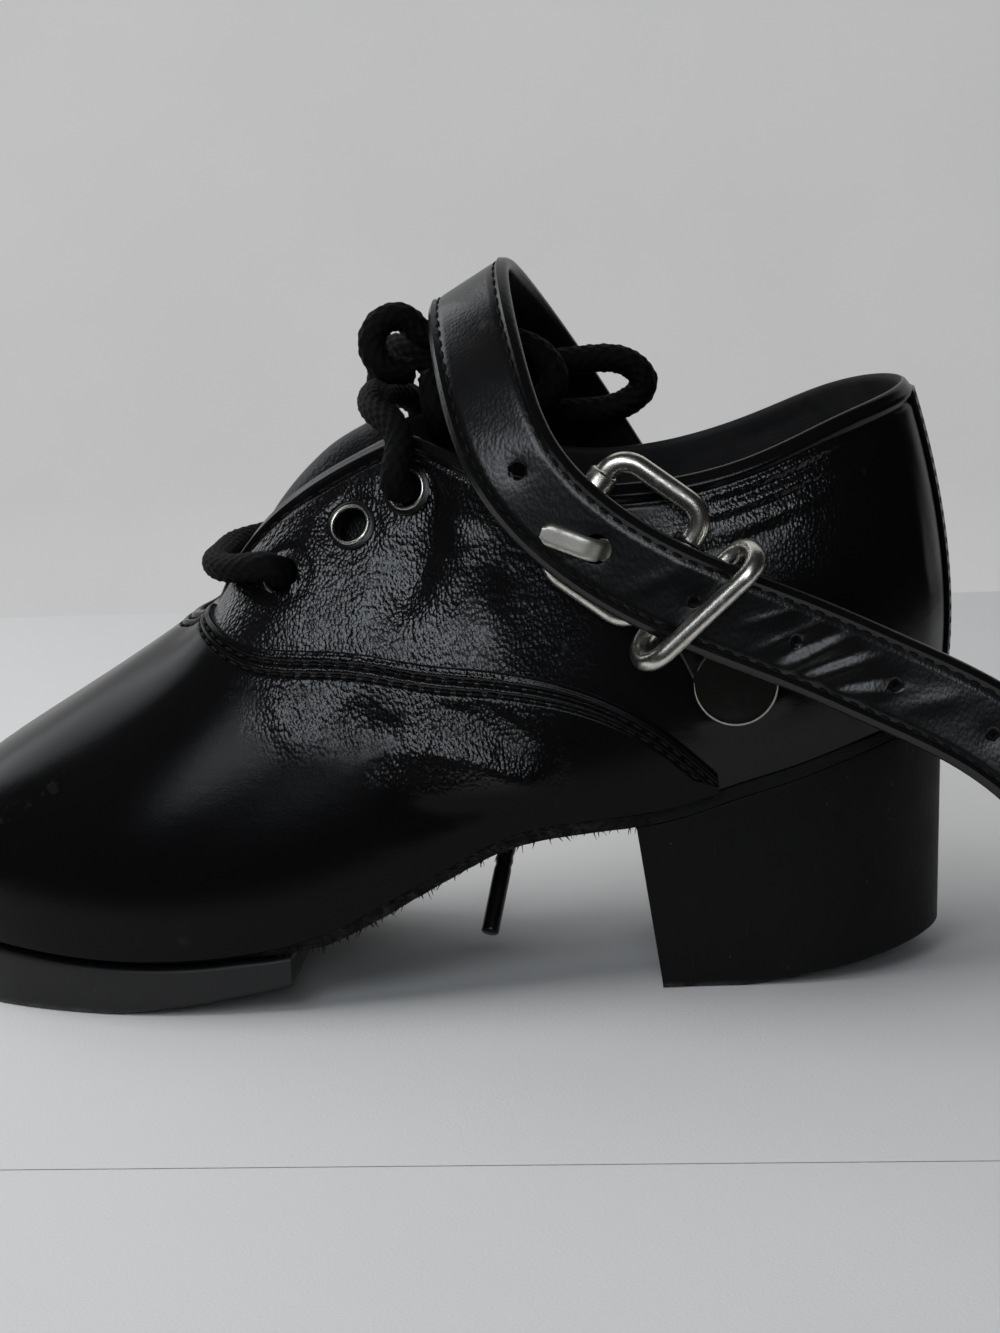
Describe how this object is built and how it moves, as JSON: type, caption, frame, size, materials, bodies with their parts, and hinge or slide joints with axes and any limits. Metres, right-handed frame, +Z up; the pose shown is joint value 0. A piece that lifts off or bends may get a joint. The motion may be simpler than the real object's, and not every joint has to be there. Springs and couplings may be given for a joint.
{
  "type": "irish dance shoe",
  "caption": "Child's black leather heavy shoe for Irish dancing, left foot, with toe tip, block heel, front lacing and a buckled instep strap with a long loose tail.",
  "frame": {"origin": "centre of the flat spot on the heel's ground face", "axes": "+X from the toe to the heel, +Y from the outer (lateral) to the inner (medial) side, +Z up"},
  "size_m": [0.1889, 0.0708, 0.1115],
  "materials": {
    "upper_leather": "smooth black, satin gloss",
    "sole_leather": "rough dark edge",
    "strap_leather": "smooth black, satin gloss",
    "lining_leather": "dull dark lining",
    "heel_resin": "satin black, scuffed",
    "lace_cord": "round braid",
    "aglet_plastic": "glossy",
    "nickelled_steel": "polished nickel plate"
  },
  "bodies": {
    "root": {"outsole": "sole_leather", "toe_tip": "heel_resin", "heel": "heel_resin", "upper": "upper_leather", "back_strip": "upper_leather", "tongue": "upper_leather", "insole": "lining_leather", "strap": "strap_leather", "buckle_tab": "strap_leather", "buckle_frame": "nickelled_steel", "buckle_roller": "nickelled_steel", "buckle_prong": "nickelled_steel", "keeper": "nickelled_steel", "rivet_lat": "nickelled_steel", "rivet_med": "nickelled_steel", "aglet_long": "aglet_plastic", "aglet_short": "aglet_plastic", "eyelet_lat_1": "nickelled_steel", "eyelet_lat_2": "nickelled_steel", "eyelet_lat_3": "nickelled_steel", "eyelet_med_1": "nickelled_steel", "eyelet_med_2": "nickelled_steel", "eyelet_med_3": "nickelled_steel", "lace_bar_low": "lace_cord", "lace_bar_top": "lace_cord", "lace_knot": "lace_cord", "lace_loop_heel": "lace_cord", "lace_loop_up": "lace_cord", "lace_end_long": "lace_cord", "lace_end_short": "lace_cord"}
  },
  "joints": []
}
